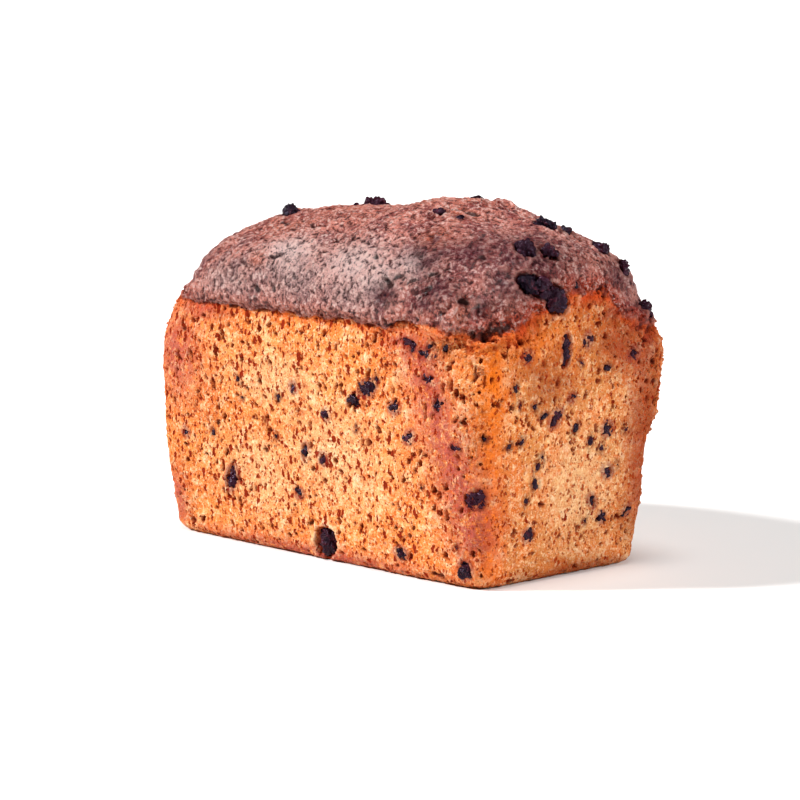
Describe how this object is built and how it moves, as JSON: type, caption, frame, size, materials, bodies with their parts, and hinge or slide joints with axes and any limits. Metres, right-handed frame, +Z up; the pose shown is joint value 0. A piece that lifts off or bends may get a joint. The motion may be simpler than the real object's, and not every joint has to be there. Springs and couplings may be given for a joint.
{
  "type": "raisin rye bread loaf",
  "caption": "Whole tin-baked rye loaf with a dark domed crust over porous orange-brown tin sides, studded all over with dark raisins, resting on its flat base.",
  "frame": {"origin": "middle of the loaf's extent, on the surface it rests on", "axes": "+X along the loaf, towards the end with the most raisins; +Z up; -Y towards the long side seen first"},
  "size_m": [0.22, 0.1186, 0.1576],
  "materials": {
    "baked_crust": "matte, porous, baked",
    "raisin_skin": "wrinkled, dark, slightly glossy"
  },
  "bodies": {
    "root": {"loaf": "baked_crust", "raisin_01": "raisin_skin", "raisin_02": "raisin_skin", "raisin_03": "raisin_skin", "raisin_04": "raisin_skin", "raisin_05": "raisin_skin", "raisin_06": "raisin_skin", "raisin_07": "raisin_skin", "raisin_08": "raisin_skin", "raisin_09": "raisin_skin", "raisin_10": "raisin_skin", "raisin_11": "raisin_skin", "raisin_12": "raisin_skin", "raisin_13": "raisin_skin", "raisin_14": "raisin_skin", "raisin_15": "raisin_skin", "raisin_16": "raisin_skin", "raisin_17": "raisin_skin", "raisin_18": "raisin_skin", "raisin_19": "raisin_skin", "raisin_20": "raisin_skin", "raisin_21": "raisin_skin", "raisin_22": "raisin_skin", "raisin_23": "raisin_skin", "raisin_24": "raisin_skin", "raisin_25": "raisin_skin", "raisin_26": "raisin_skin", "raisin_27": "raisin_skin", "raisin_28": "raisin_skin", "raisin_29": "raisin_skin", "raisin_30": "raisin_skin", "raisin_31": "raisin_skin", "raisin_32": "raisin_skin", "raisin_33": "raisin_skin", "raisin_34": "raisin_skin", "raisin_35": "raisin_skin", "raisin_36": "raisin_skin", "raisin_37": "raisin_skin", "raisin_38": "raisin_skin", "raisin_39": "raisin_skin", "raisin_40": "raisin_skin", "raisin_41": "raisin_skin", "raisin_42": "raisin_skin", "raisin_43": "raisin_skin", "raisin_44": "raisin_skin", "raisin_45": "raisin_skin", "raisin_46": "raisin_skin", "raisin_47": "raisin_skin", "raisin_48": "raisin_skin", "raisin_49": "raisin_skin", "raisin_50": "raisin_skin", "raisin_51": "raisin_skin", "raisin_52": "raisin_skin", "raisin_53": "raisin_skin", "raisin_54": "raisin_skin", "raisin_55": "raisin_skin", "raisin_56": "raisin_skin", "raisin_57": "raisin_skin", "raisin_58": "raisin_skin"}
  },
  "joints": []
}
